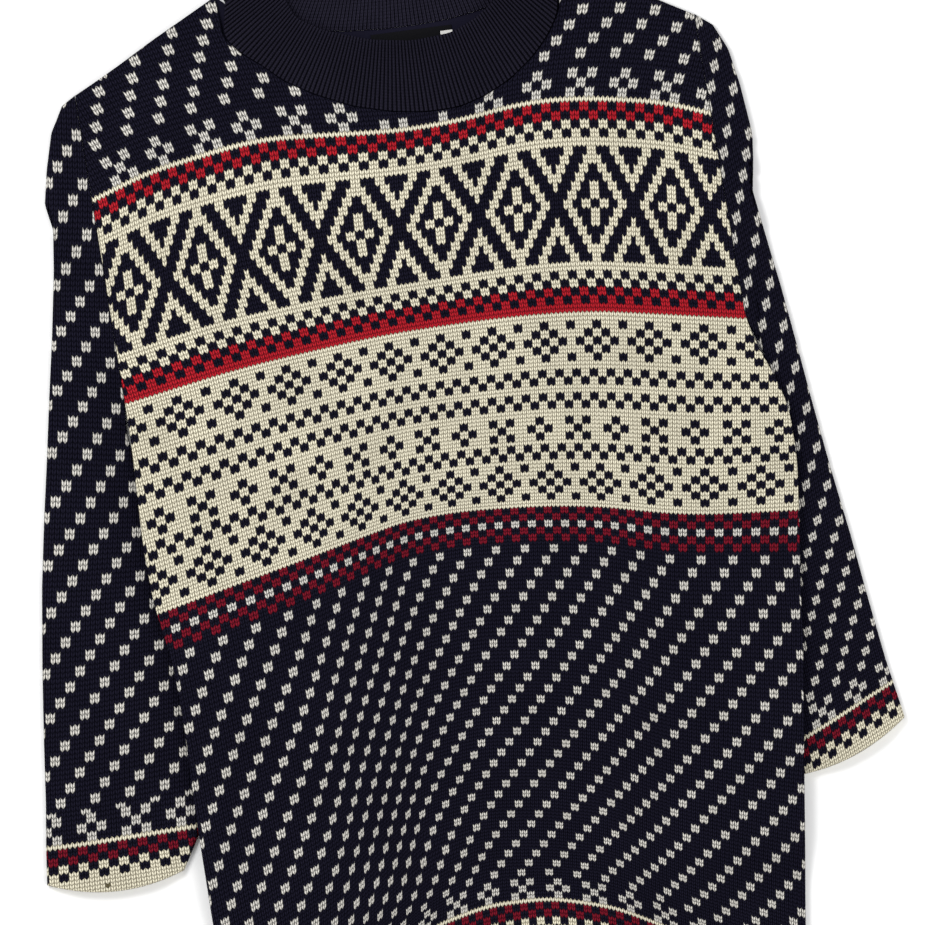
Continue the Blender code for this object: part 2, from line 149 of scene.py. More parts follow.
# Where the stitches lie: for some rows of stitches, the column, x and y of a few of them. Row 0 is the first
# row of flecks under the chest, and rows count downward.
stitchStations = {
    -146: [(-88.5, -262, 349.5), (-71.5, -197, 368.5), (-54.5, -135, 378.5), (-37.5, -55, 370),
        (-20.5, 17, 364), (-3.5, 88, 369), (13.5, 168, 371.5), (30.5, 230, 357.5), (47.5, 291, 337.5)],
    -110.5: [(-88.5, -207.6, 230.4), (-80, -180.1, 240.3), (-71.5, -154.1, 244.4), (-63, -126.5, 249.4),
        (-54.5, -97.3, 252.4), (-46, -71.4, 250.6), (-37.5, -39.3, 248.1), (-29, -9, 245.5),
        (-20.5, 16.3, 246), (-12, 43, 247.5), (-3.5, 71, 252.3), (5, 99.5, 253.9), (13.5, 127.7, 251.1),
        (22, 154.8, 246.7), (30.5, 182.4, 241.2), (39, 210.9, 229.7)],
    -87: [(-88, -206, 158), (-71, -152.5, 169.9), (-54, -97, 175), (-37, -41.5, 177.3), (-20, 15.1, 178.4),
        (-3, 71.6, 181.5), (14, 125.6, 178.6), (31, 178.3, 168.2), (48, 230.1, 153.3)],
    -74.5: [(-84, -192.4, 123), (-72, -150.1, 130.9), (-60, -111.8, 134.3), (-48, -73.7, 137.7),
        (-36, -36.2, 139.7), (-24, 1.4, 140.6), (-12, 39.3, 141.7), (0, 77.1, 142.1), (12, 114.9, 139.9),
        (24, 150.5, 133.6), (36, 190.1, 126.4)],
    -62: [(-84, -183.5, 87.2), (-72, -141.8, 94.4), (-60, -105.1, 98.7), (-48, -67.8, 102.4),
        (-36, -31.3, 105.6), (-24, 5.8, 106.7), (-12, 42, 107), (0, 78.9, 105.9), (12, 116.3, 102.9),
        (24, 152.6, 96.2), (36, 190.6, 89.1)],
    -55: [(-84, -182.6, 68.3), (-72, -141, 75.1), (-60, -103.9, 80), (-48, -66.6, 83.7), (-36, -31.1, 86.3),
        (-24, 5.2, 86.8), (-12, 41.6, 86.6), (0, 78, 85.7), (12, 114.4, 82.4), (24, 149.6, 76.4),
        (36, 187.6, 69.6)],
    -19: [(-84, -175.9, -39.3), (-72, -136.2, -30.1), (-60, -99.2, -22.3), (-48, -66, -15.5),
        (-36, -34.3, -9.7), (-24, -1.1, -7.8), (-12, 33.4, -9.4), (0, 68.6, -11.9), (12, 103.3, -16.7),
        (24, 137.7, -23.9), (36, 175, -30.8), (48, 214.7, -32.9)],
    0: [(-84, -173.2, -90.8), (-68, -117.8, -78.2), (-52, -75.5, -65.4), (-36, -37.1, -53.7),
        (-20, 7.3, -52.1), (-4, 53.7, -55.5), (12, 99.6, -62.4), (28, 144, -75.9), (44, 194.5, -82.6)],
    12: [(-84, -171.2, -130.8), (-68, -116.7, -117.7), (-52, -75.5, -101.4), (-36, -38.6, -88.2),
        (-20, 5.3, -85.3), (-4, 50.7, -89.8), (12, 96.2, -98), (28, 140.3, -113.3), (44, 191.7, -120.7)],
    24: [(-84, -169.7, -170.2), (-68, -115.7, -155.2), (-52, -77, -136.4), (-36, -40, -121.4),
        (-20, 3, -117.2), (-4, 48.7, -122.5), (12, 93.9, -131.4), (28, 137.5, -148.8), (44, 187.7, -157.4)],
    36: [(-84, -168.6, -208.6), (-68, -115, -191.7), (-52, -78.1, -170.1), (-36, -42.4, -152.9),
        (-20, -0.1, -148.9), (-4, 45.8, -153.9), (12, 91.1, -163.7), (28, 133, -182.8), (44, 183.5, -193.3)],
    48: [(-84, -166.4, -246.6), (-68, -114.2, -227.6), (-52, -79, -202.8), (-36, -45, -184),
        (-20, -2.5, -178.3), (-4, 42.6, -184.2), (12, 87.4, -194.5), (28, 129.1, -214.7),
        (44, 177.5, -228.1)],
    60: [(-84, -165, -284), (-68, -114, -262), (-52, -80.1, -234.8), (-36, -47.9, -213.9),
        (-20, -5.6, -207.7), (-4, 38.9, -213.3), (12, 83.5, -224.7), (28, 125, -245.4), (44, 172.3, -260.7)],
    72: [(-84, -164, -319), (-68, -118, -297), (-52, -81.3, -268.9), (-36, -50.8, -242), (-20, -8.4, -236.6),
        (-4, 35.9, -241.6), (12, 79.9, -253.6), (28, 121, -275.6), (44, 166.6, -293)],
    84: [(-84, -164, -350), (-68, -120, -329), (-52, -86, -302), (-36, -50, -279), (-20, -11.1, -263.4),
        (-4, 33.2, -269.3), (12, 77, -279.3), (28, 117.7, -303.3), (44, 163, -324)],
    98: [(-84, -165, -378), (-68, -122, -355), (-52, -89, -330), (-36, -53, -307), (-20, -13, -298),
        (-4, 30.7, -298.5), (12, 75.2, -311.1), (28, 116, -334), (44, 161, -357)],
    112: [(-84, -165, -415), (-68, -123, -388), (-52, -90, -368), (-36, -54, -350), (-20, -14, -339),
        (-4, 29, -337), (12, 73, -349), (28, 115, -369), (44, 160, -396)],
}
bodyRows = (-150, 112)
bodyColumns = (-104, 74)
evening = ((0, 7), (1, 9), (0, 6), (1, 7))  # direction and reach of each smoothing of the lattice
legDrop = 1.2  # how far a stitch's middle hangs below its corners, in half rows


# Straight between the given pairs, and straight on past both ends
def spread(values, at):
    given = np.array(values)
    out = np.interp(at, given[:, 0], given[:, 1])
    for end, nearby in ((0, 1), (-1, -2)):
        slope = (given[end, 1] - given[nearby, 1]) / (given[end, 0] - given[nearby, 0])
        past = at < given[0, 0] if end == 0 else at > given[-1, 0]
        out = np.where(past, given[end, 1] + slope * (at - given[end, 0]), out)
    return out


# A running mean that leaves straight runs as they are
def smoothed(values, axis, reach):
    pad = [(reach, reach) if k == axis else (0, 0) for k in (0, 1)]
    wide = np.pad(values, pad, mode="reflect", reflect_type="odd")
    size = values.shape[axis]
    total = sum(np.take(wide, range(k, k + size), axis=axis) for k in range(2 * reach + 1))
    return total / (2 * reach + 1)


# x and y of the corners and upper middle of every stitch. The middle hangs lower.
def stitchField(table, rowRange, columnRange):
    rows = np.arange(rowRange[0] * 2, rowRange[1] * 2 + 3) / 2
    columns = np.arange(columnRange[0] * 2, columnRange[1] * 2 + 1) / 2
    stations = sorted(table)
    fields = []
    for part in (1, 2):
        atStations = np.array([spread([(s[0], s[part]) for s in table[r]], columns) for r in stations])
        grid = np.array([spread(list(zip(stations, line)), rows) for line in atStations.T]).T
        for axis, reach in evening:
            grid = smoothed(grid, axis, reach)
        fields.append(grid)
    field = np.stack(fields, axis=-1)
    corners = field[0:-2:2].copy()
    corners[:, 1::2] = (1.0 - legDrop) * field[0:-2:2, 1::2] + legDrop * field[1:-1:2, 1::2]
    return corners


# Yarn numbers: the order of the wools on every knitted piece
navy, cream, red, wine, pale, stained = range(6)
# Stitches from one motif to the next
period = {"fleck": 7, "check": 4, "flower": 12, "mark": 18, "diamond": 17}


# True on a fleck of 2 x 2 stitches. The next ones lie 3 rows down and 2 stitches back.
def fleckAt(column, row, originColumn=0, originRow=0):
    r = row - originRow + 1
    step, within = r // 3, r % 3
    return (within < 2) & ((column - originColumn + 1 + 2 * step) % period["fleck"] < 2)


# True inside checks of 2 x 2 stitches. marks gives the places of their middles for each pair of rows from
# the first, and they come again after so many stitches.
def checks(column, row, marks, apart, origin, first):
    pair = (row - first) // 2
    hit = np.zeros(column.shape, bool)
    for number, places in enumerate(marks):
        for place in places:
            hit |= (pair == number) & ((column - origin - place + 1) % apart < 2)
    return hit


# Rows of alternating checks, given as the two yarns of each pair of rows
def checkRows(yarn, column, row, first, pairs, origin=1):
    phase = (column - origin + 1) % period["check"] < 2
    for number, (here, between) in enumerate(pairs):
        at = (row - first) // 2 == number
        yarn[at & phase] = here
        yarn[at & ~phase] = between


flowerMarks = [(0, 6), (-2, 2), (-4, 0, 4), (-2, 2), (0, 6)]
crossMark = [(-2, 2), (0,), (-2, 2)]
ringMark = [(0,), (-2, 2), (0,)]
# Peaks over the highest band, by the column of each middle. The collar hides the tops of the last three.
yokePeaks = [(ringMark, (-76, -57, -38, 3, 21, 39)), (crossMark, (-85, -66, -47, 12, 30)),
             ([(), (), (0,)], (-17,)), ([(), (), (-2, 2)], (-28,)), ([(), (0,), (-2, 2)], (-7,))]
# Cream stitches of a diamond's half, by pairs of rows away from its middle
diamondRows = {0: (2, 3, 6, 7), 1: (1, 5, 6), 2: (1, 4, 5, 9), 3: (3, 4, 8, 9), 4: (2, 3, 7, 8),
               5: (1, 2, 6, 7), 6: (1, 5, 6)}
far = 400  # past every row and column, and the period of marks that don't repeat
plainRows = [(-111, -110, cream), (-102, -100, cream), (-74, -72, cream), (-64, -62, red), (-62, -12, cream),
             (98, 99, cream), (107, far, cream)]


# Which yarn each stitch of the body is knitted in
def bodyYarn(column, row):
    yarn = np.full(column.shape, navy)
    yarn[(row < -118) & fleckAt(column, row, 11, -120)] = pale
    yarn[(row >= -1) & (row < 92) & fleckAt(column, row)] = pale
    for first, last, colour in plainRows:
        yarn[(row >= first) & (row < last)] = colour
    for marks, places in yokePeaks:
        for place in places:
            yarn[checks(column, row, marks, far, place, -117)] = pale
    away = (column - 14) % period["diamond"]
    away = np.where(away < 9, away + 1, period["diamond"] - away)
    level = np.abs((row + 100) // 2 - 6)
    for at, places in diamondRows.items():
        yarn[(level == at) & np.isin(away, places)] = cream
    for first in (-60, -24):
        yarn[checks(column, row, flowerMarks, period["flower"], 12, first)] = navy
    for first in (-48, -42, -29):
        yarn[checks(column, row, [(0,), (-2,)], period["check"], 11, first)] = navy
    for first, colour in ((-36, navy), (92, pale)):
        yarn[checks(column, row, ringMark, period["mark"], 16, first)] = colour
        yarn[checks(column, row, crossMark, period["mark"], 7, first)] = colour
    checkRows(yarn, column, row, -110, [(red, navy), (navy, red), (cream, navy), (navy, cream)])
    checkRows(yarn, column, row, -72, [(cream, navy), (navy, cream), (red, navy), (navy, red)], 2)
    checkRows(yarn, column, row, -12, [(wine, navy), (navy, wine), (pale, navy), (navy, wine), (wine, navy)],
              -1)
    checkRows(yarn, column, row, 99, [(wine, navy), (navy, wine), (cream, navy), (navy, cream)])
    return yarn


# Materials


# Short ways to add and join a material's nodes
class Shader:
    def __init__(self, name):
        self.material = bpy.data.materials.new(name)
        self.material.use_nodes = True
        self.nodes = self.material.node_tree.nodes
        self.surface = self.nodes["Principled BSDF"]

    def link(self, source, target):
        self.material.node_tree.links.new(source, target)

    def math(self, operation, first, second=None, third=None):
        node = self.nodes.new("ShaderNodeMath")
        node.operation = operation
        for socket, value in zip(node.inputs, (first, second, third)):
            if value is None:
                continue
            if isinstance(value, (int, float)):
                socket.default_value = value
            else:
                self.link(value, socket)
        return node.outputs[0]

    # A soft step from least, at low, to 1, at high
    def steps(self, value, low, high, least=0.0):
        node = self.nodes.new("ShaderNodeMapRange")
        node.interpolation_type = "SMOOTHSTEP"
        self.link(value, node.inputs[0])
        for place, number in enumerate((low, high, least, 1.0), start=1):
            node.inputs[place].default_value = number
        return node.outputs[0]

    def noise(self, scale, detail):
        where = self.nodes.new("ShaderNodeTexCoord")
        node = self.nodes.new("ShaderNodeTexNoise")
        node.inputs["Scale"].default_value = scale
        node.inputs["Detail"].default_value = detail
        self.link(where.outputs["Object"], node.inputs["Vector"])
        return node.outputs[0]

    def colour(self, dark, light, share):
        node = self.nodes.new("ShaderNodeMix")
        node.data_type = "RGBA"
        node.inputs[6].default_value = (*dark, 1.0)
        node.inputs[7].default_value = (*light, 1.0)
        self.link(share, node.inputs[0])
        return node.outputs[2]

    # The colour made darker or lighter by a number from other nodes
    def tint(self, colour, factor):
        node = self.nodes.new("ShaderNodeVectorMath")
        node.operation = "SCALE"
        self.link(colour, node.inputs[0])
        self.link(factor, node.inputs["Scale"])
        return node.outputs[0]

    def bump(self, height, strength, distance):
        node = self.nodes.new("ShaderNodeBump")
        node.inputs["Strength"].default_value = strength
        node.inputs["Distance"].default_value = distance
        self.link(height, node.inputs["Height"])
        self.link(node.outputs["Normal"], self.surface.inputs["Normal"])


wool = {
    "fuzz": 1400.0, "fuzzDetail": 3.0, "fuzzShade": 0.6, "fray": 0.25, "rowFray": 0.7, "rowCurve": 3.2,
    "middleLeast": 0.25, "ply": 0.07, "plyAcross": 13.0, "plyDown": 10.0,
    "patches": 26.0, "patchDetail": 5.0, "patchDepth": 0.36, "patchBase": 0.82,
    "roughness": 0.9, "specular": 0.02, "bump": 0.7, "bumpDistance": 0.0012,
}


# Knitted wool. The stitch map runs 0 to 1 across a half stitch and 0 to 1 down a row. The height bumps the
# yarn and also mixes its colour towards a painted shade in the grooves between the legs, at the V's middle
# and between the rows.
def woolMaterial(name, grooveShade, leg, valley=0.34, middle=0.30, rowDepth=1.0):
    shader = Shader(name)
    where = shader.nodes.new("ShaderNodeUVMap")
    where.uv_map = "stitch"
    split = shader.nodes.new("ShaderNodeSeparateXYZ")
    shader.link(where.outputs[0], split.inputs[0])
    across, down = split.outputs[0], split.outputs[1]
    fuzz = shader.noise(wool["fuzz"], wool["fuzzDetail"])
    loose = shader.math("SUBTRACT", fuzz, 0.5)
    centred = shader.math("MULTIPLY_ADD", down, 2.0, -1.0)
    centred = shader.math("MULTIPLY_ADD", loose, wool["rowFray"], centred)
    hollow = shader.math("POWER", shader.math("ABSOLUTE", centred), wool["rowCurve"])
    band = shader.math("MULTIPLY_ADD", hollow, -rowDepth, 1.0)
    frayed = shader.math("MULTIPLY_ADD", loose, wool["fray"], across)
    outer = shader.steps(frayed, 0.0, valley)
    inner = shader.steps(frayed, 1.0, 1.0 - middle, wool["middleLeast"])
    height = shader.math("MULTIPLY", shader.math("MAXIMUM", band, 0.0), shader.math("MULTIPLY", outer, inner))
    twist = shader.math("MULTIPLY", down, wool["plyDown"])
    ply = shader.math("SINE", shader.math("MULTIPLY_ADD", across, wool["plyAcross"], twist))
    height = shader.math("MULTIPLY_ADD", ply, wool["ply"], height)
    patches = shader.noise(wool["patches"], wool["patchDetail"])
    share = shader.math("MULTIPLY_ADD", loose, wool["fuzzShade"], height)
    # painted shade: the colour goes dark where the height is low, in the grooves between legs and rows
    colour = shader.colour(grooveShade, leg, shader.math("MINIMUM", shader.math("MAXIMUM", share, 0.0), 1.0))
    colour = shader.tint(colour, shader.math("MULTIPLY_ADD", patches, wool["patchDepth"], wool["patchBase"]))
    shader.link(colour, shader.surface.inputs["Base Color"])
    shader.surface.inputs["Roughness"].default_value = wool["roughness"]
    shader.surface.inputs["Specular IOR Level"].default_value = wool["specular"]
    shader.bump(height, wool["bump"], wool["bumpDistance"])
    return shader.material


woven = {"roughness": 0.8, "specular": 0.08, "bump": 0.3, "bumpDistance": 0.0003}


# Tightly woven label cloth
def wovenMaterial(name, dark, light, pitch):
    shader = Shader(name)
    where = shader.nodes.new("ShaderNodeTexCoord")
    split = shader.nodes.new("ShaderNodeSeparateXYZ")
    shader.link(where.outputs["Object"], split.inputs[0])
    warp = shader.math("SINE", shader.math("MULTIPLY", split.outputs[0], 2.0 * math.pi / pitch))
    weft = shader.math("SINE", shader.math("MULTIPLY", split.outputs[1], 2.0 * math.pi / pitch))
    weave = shader.math("MULTIPLY_ADD", shader.math("MULTIPLY", warp, weft), 0.5, 0.5)
    shader.link(shader.colour(dark, light, weave), shader.surface.inputs["Base Color"])
    shader.surface.inputs["Roughness"].default_value = woven["roughness"]
    shader.surface.inputs["Specular IOR Level"].default_value = woven["specular"]
    shader.bump(weave, woven["bump"], woven["bumpDistance"])
    return shader.material


# For each wool: first the painted shade of its grooves, then the yarn's own colour
wools = [
    woolMaterial("navyWool", (0.0008, 0.0008, 0.0020), (0.0095, 0.0088, 0.0185)),
    woolMaterial("creamWool", (0.15, 0.13, 0.085), (0.79, 0.74, 0.575)),
    woolMaterial("redWool", (0.05, 0.003, 0.005), (0.44, 0.015, 0.025)),
    woolMaterial("wineWool", (0.015, 0.002, 0.004), (0.19, 0.009, 0.021)),
    woolMaterial("paleWool", (0.03, 0.03, 0.03), (0.74, 0.71, 0.65), 0.42, 0.45),
    woolMaterial("stainedWool", (0.02, 0.02, 0.01), (0.13, 0.11, 0.06)),
]
# The collar wool's first colour is painted shade, laid wide in the valleys between the ribs
collarWool = woolMaterial("collarWool", (0.0006, 0.0006, 0.0014), (0.0230, 0.0210, 0.0370), 0.85, 0.30, 0.45)
labelCloth = wovenMaterial("labelCloth", (0.0015, 0.0015, 0.002), (0.006, 0.006, 0.008), 0.0008)
tagCloth = wovenMaterial("tagCloth", (0.62, 0.61, 0.58), (0.84, 0.83, 0.80), 0.0007)


# Meshes


# A mesh object in metres from points in millimetres
def makeObject(name, points, faces, materials, slots=None, stitchMap=None):
    mesh = bpy.data.meshes.new(name)
    world = np.array(points, float)
    world[:, :2] -= boxCentre
    mesh.from_pydata((world * mm).tolist(), [], faces)
    for material in materials:
        mesh.materials.append(material)
    if slots is not None:
        mesh.polygons.foreach_set("material_index", slots)
    layer = mesh.uv_layers.new(name="stitch")
    if stitchMap is not None:
        layer.data.foreach_set("uv", np.array(stitchMap, np.float32).ravel())
    mesh.validate()
    mesh.update()
    piece = bpy.data.objects.new(name, mesh)
    bpy.context.scene.collection.objects.link(piece)
    return piece


def dress(piece, node):
    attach(piece, "root")
    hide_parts(node)


def insideOutline(points, outline):
    x, y = points[..., 0], points[..., 1]
    inside = np.zeros(x.shape, bool)
    for (x0, y0), (x1, y1) in zip(outline, np.roll(outline, -1, axis=0)):
        if y0 == y1:
            continue
        inside ^= ((y0 > y) != (y1 > y)) & (x < (x1 - x0) * (y - y0) / (y1 - y0) + x0)
    return inside


def legs(path):
    return np.hypot(*np.diff(path, axis=0).T)


def walkAlong(path):
    return np.concatenate([[0.0], np.cumsum(legs(path))])


# How far round the outline its nearest place to each point is
def alongOutline(points, outline):
    ends = np.roll(outline, -1, axis=0)
    steps = ends - outline
    lengths = np.hypot(*steps.T)
    starts = np.concatenate([[0.0], np.cumsum(lengths)[:-1]])
    offset = points[:, None, :] - outline[None]
    share = np.clip((offset * steps).sum(-1) / np.maximum(lengths ** 2, 1e-9), 0.0, 1.0)
    away = np.hypot(*np.moveaxis(offset - share[..., None] * steps, -1, 0))
    best = away.argmin(1)
    pick = np.arange(len(points))
    return starts[best] + share[pick, best] * lengths[best]


def atOutline(distance, outline):
    closed = np.vstack([outline, outline[:1]])
    walk = walkAlong(closed)
    distance = np.mod(distance, walk[-1])
    return np.stack([np.interp(distance, walk, closed[:, k]) for k in (0, 1)], axis=-1)


# The panel's edge, the way a clock runs, from the shoulder on the wearer's right
def panelOutline(topColumn):
    top = bodyTop[:, [0, topColumn]]
    shares = np.linspace(0.0, 1.0, body["hemSteps"])
    hemX = hemLine[0, 0] + (hemLine[-1, 0] - hemLine[0, 0]) * shares
    hemY = np.interp(hemX, hemLine[:, 0], hemLine[:, 1])
    hemY = smoothed(hemY[:, None], 0, body["hemEase"])[:, 0]
    west, east = bodyEdges(hemY)
    hem = np.stack([west + (east - west) * shares, hemY], axis=-1)
    downRight = np.linspace(top[-1, 1], hemY[-1], body["sideSteps"])[1:-1]
    downLeft = np.linspace(hemY[0], top[0, 1], body["sideSteps"])[1:-1]
    right = np.stack([bodyEdges(downRight)[1], downRight], axis=-1)
    left = np.stack([bodyEdges(downLeft)[0], downLeft], axis=-1)
    return np.vstack([top, right, hem[::-1], left])


# Faces with a corner inside the outline, without places where two faces meet only at a corner
def keptFaces(inside):
    kept = inside[:-1, :-1] | inside[1:, :-1] | inside[:-1, 1:] | inside[1:, 1:]
    while True:
        a, b, c, d = kept[:-1, :-1], kept[:-1, 1:], kept[1:, :-1], kept[1:, 1:]
        pinch = (a & d & ~b & ~c) | (b & c & ~a & ~d)
        if not pinch.any():
            return kept
        for i, j in np.argwhere(pinch):
            kept[i:i + 2, j:j + 2] = True


# The corners along the sheet's edge, in order
def edgeLoop(faces):
    sides = {}
    for face in faces:
        for a, b in zip(face, face[1:] + face[:1]):
            if (b, a) in sides:
                del sides[(b, a)]
            else:
                sides[(a, b)] = True
    after = dict(sides.keys())
    start = next(iter(after))
    loop = [start]
    while after[loop[-1]] != start:
        loop.append(after[loop[-1]])
    return loop


leastStep = 0.05  # between neighbours on an edge
rimClear = 0.35  # no place of a plain sheet is nearer its rim, as a share of the spacing
plainMap = (0.5, 0.5)  # where a plain face lies on the stitch map


# The stitches inside an outline: flat places, faces, stitch map, each face's row and half column, the edge
# and how far round the outline its places lie
def clippedSheet(grid, outline):
    rows, halves = grid.shape[0] - 1, grid.shape[1] - 1
    inside = insideOutline(grid, outline)
    kept = keptFaces(inside)
    corners = np.zeros(inside.shape, bool)
    for di in (0, 1):
        for dj in (0, 1):
            corners[di:rows + di, dj:halves + dj] |= kept
    number = -np.ones(inside.shape, int)
    number[corners] = np.arange(corners.sum())
    flat = grid[corners].copy()
    loose = ~inside[corners]
    flat[loose] = atOutline(alongOutline(flat[loose], outline), outline)
    ri, ci = np.nonzero(kept)
    quads = [number[ri, ci], number[ri + 1, ci], number[ri + 1, ci + 1], number[ri, ci + 1]]
    faces = np.stack(quads, axis=-1).tolist()
    leftHalf, rightHalf = [(0, 0), (0, 1), (1, 1), (1, 0)], [(1, 0), (1, 1), (0, 1), (0, 0)]
    stitchMap = [leftHalf if j % 2 == 0 else rightHalf for j in ci.tolist()]
    loop = edgeLoop(faces)
    whole = legs(np.vstack([outline, outline[:1]])).sum()
    distances = alongOutline(flat[loop], outline)
    gaps = np.abs((np.roll(distances, -1) - distances + whole / 2) % whole - whole / 2)
    start = int(gaps.argmax()) + 1
    loop = loop[start:] + loop[:start]
    distances = np.unwrap(np.roll(distances, -start), period=whole)
    turn = 1.0 if distances[-1] > distances[0] else -1.0
    distances *= turn
    for k in range(1, len(loop)):
        distances[k] = max(distances[k], distances[k - 1] + leastStep)
    distances *= turn
    flat[loop] = atOutline(distances, outline)
    return flat, faces, stitchMap, ri, ci, loop, distances


# Triangles that fill a rim of flat places: all places, triangles, and which place stands for each rim one
def plainSheet(rim, spacing):
    low, high = rim.min(0), rim.max(0)
    spots = np.meshgrid(*[np.arange(low[k], high[k], spacing) for k in (0, 1)])
    spots = np.stack(spots, -1).reshape(-1, 2)
    spots = spots[insideOutline(spots, rim)]
    near = atOutline(alongOutline(spots, rim), rim)
    spots = spots[np.hypot(*(spots - near).T) > rimClear * spacing]
    every = np.vstack([rim, spots])
    edge = [list(range(len(rim)))]
    found, _, triangles, origins, _, _ = geometry.delaunay_2d_cdt(every.tolist(), [], edge, 1, 1e-7)
    twin = {}
    for new, old in enumerate(origins):
        for k in old:
            twin[k] = new
    return np.array([tuple(p) for p in found]), triangles, [twin[k] for k in range(len(rim))]


# Collects points and faces of one closed piece of cloth
class Cloth:
    def __init__(self):
        self.points, self.faces, self.slots, self.stitchMap = [], [], [], []

    def add(self, points, faces, slots=None, stitchMap=None):
        base = len(self.points)
        self.points.extend(np.asarray(points).tolist())
        for k, face in enumerate(faces):
            self.addFace([base + int(c) for c in face], slots[k] if slots is not None else navy,
                         stitchMap[k] if stitchMap is not None else None)
        return base

    def addFace(self, face, slot=0, uv=None):
        unique, kept = [], []
        for k, corner in enumerate(face):
            if corner not in unique:
                unique.append(corner)
                kept.append(uv[k] if uv is not None else plainMap)
        if len(unique) > 2:
            self.faces.append(unique)
            self.slots.append(int(slot))
            self.stitchMap.extend(kept)

    def make(self, name):
        piece = makeObject(name, self.points, self.faces, wools, self.slots, self.stitchMap)
        shape = bmesh.new()
        shape.from_mesh(piece.data)
        bmesh.ops.recalc_face_normals(shape, faces=shape.faces)
        if shape.calc_volume(signed=True) < 0:  # all facing inward
            bmesh.ops.reverse_faces(shape, faces=shape.faces)
        shape.to_mesh(piece.data)
        shape.free()
        return piece


# A sheet of stitches cut to an outline, with a plain inner face. height gives its stitched face.
def knitPanel(name, outline, height, thickness):
    grid = stitchField(stitchStations, bodyRows, bodyColumns)
    flat, faces, stitchMap, ri, ci, loop, _ = clippedSheet(grid, outline)
    yarn = bodyYarn(ci // 2 + bodyColumns[0], ri + bodyRows[0])
    cloth = Cloth()
    cloth.add(np.column_stack([flat, height(flat[:, 0], flat[:, 1])]), faces, yarn, stitchMap)
    places, triangles, twin = plainSheet(flat[loop], body["rimSpacing"])
    inner = cloth.add(np.column_stack([places, height(places[:, 0], places[:, 1]) - thickness]), triangles)
    for k in range(len(loop)):
        following = (k + 1) % len(loop)
        cloth.addFace([loop[following], loop[k], inner + twin[k], inner + twin[following]])
    return cloth.make(name)


def buildBody():
    wall = body["wall"]
    frontOutline, backOutline = panelOutline(1), panelOutline(2)
    front = knitPanel("frontPanel", frontOutline, lambda x, y: frontInside(x, y) + wall, wall)
    back = knitPanel("backPanel", backOutline, tuck, -wall)
    for piece, node, outline, under in (
            (front, "front", frontOutline, "back"), (back, "back", backOutline, "floor")):
        dress(piece, node)
        print("knitted", piece.name, len(piece.data.polygons), "faces")


# Sleeves: a flattened tube, open at the armhole and the cuff. Stations are rows of stitches as on the body.
sleeve = {
    "flat": 6.2, "edgeRound": 3.0, "edgeLow": 0.04,  # thickness and how its edges are rounded
    "puff": 3.6, "puffClear": 6.0, "puffSlope": 22.0, "puffEdge": 26.0, "puffSections": 3.0,
    "rimSpacing": 11.0, "edgeSteps": (160, 60), "widthSteps": 50, "atEnd": 0.02,
    "searchSteps": (70, 30), "searchParts": 20, "searchRounds": 6, "searchReach": (1.0, 0.1), "nudge": 0.02,
}
rightStations = {
    -80: [(-14, -270, 312), (0, -221.8, 302.1), (14, -170.8, 291.7)],
    -57: [(-14, -279, 223), (0, -231, 215.5), (14, -186.2, 206.7)],
    -45: [(-14, -288, 174), (0, -240, 167), (14, -194.5, 160.1)],
    -18: [(-14, -300, 82), (0, -249.2, 73.2), (14, -205, 63.9)],
    0: [(-14, -311, 14), (0, -260.1, 5.6), (14, -215, 1)],
    18: [(-14, -321, -54), (0, -272.6, -58.6), (14, -224.3, -59.5)],
    36: [(-14, -330, -119), (0, -281.4, -120.9), (14, -232.2, -118.5)],
    54: [(-14, -338, -179.5), (0, -289.4, -180.7), (14, -239.8, -176.8)],
    67: [(-14, -342, -222), (0, -293, -222.5), (14, -244, -221.5)],
    80: [(-14, -345, -259), (0, -296, -259), (14, -244.1, -256.6)],
}
leftStations = {
    -120: [(-20, 152.1, 271.2), (1, 212, 306), (22, 270, 338)],
    -75: [(-20, 174.4, 102.8), (1, 233.1, 137.4), (22, 291, 170)],
    -57: [(-20, 180.8, 37), (3, 245, 75.5), (22, 298, 106)],
    -39: [(-20, 183.6, -24), (5, 253.1, 15.9), (22, 301, 42)],
    -21: [(-20, 182.9, -78.8), (7, 260.2, -39.5), (22, 303, -18)],
    -9: [(-20, 185.4, -106.1), (6, 260.6, -76.4), (22, 307, -57)],
    0: [(-21, 187.7, -127.9), (-7, 228, -114), (7, 264.9, -100.9), (22, 309, -84)],
    15: [(-21, 190.9, -171.6), (-7, 233, -157), (7, 269.1, -142.8), (22, 313, -125)],
    34: [(-21, 196, -228), (-7, 238, -210), (7, 276.6, -190.7), (22, 319, -171)],
    48: [(-21, 199, -266), (-7, 242, -247), (7, 283.8, -226.3), (22, 324, -209)],
}
sleeveKnit = {
    "right": {
        "rows": rightSleeveRows, "stations": rightStations, "lineRow": 66,
        "rowRange": (-86, 84), "columnRange": (-24, 34), "peaks": (3, -6),
        "stain": (5, 77),  # column and row of the one stained stitch
    },
    "left": {
        "rows": leftSleeveRows, "stations": leftStations, "lineRow": 32,
        "rowRange": (-130, 49), "columnRange": (-62, 34), "peaks": (2, -7),
    },
}


# The flat section at place t along the sleeve: both edges, lift and bow
def sleeveLine(rows, t):
    at = np.arange(len(rows))
    return [np.interp(t, at, rows[:, k]) for k in range(6)]


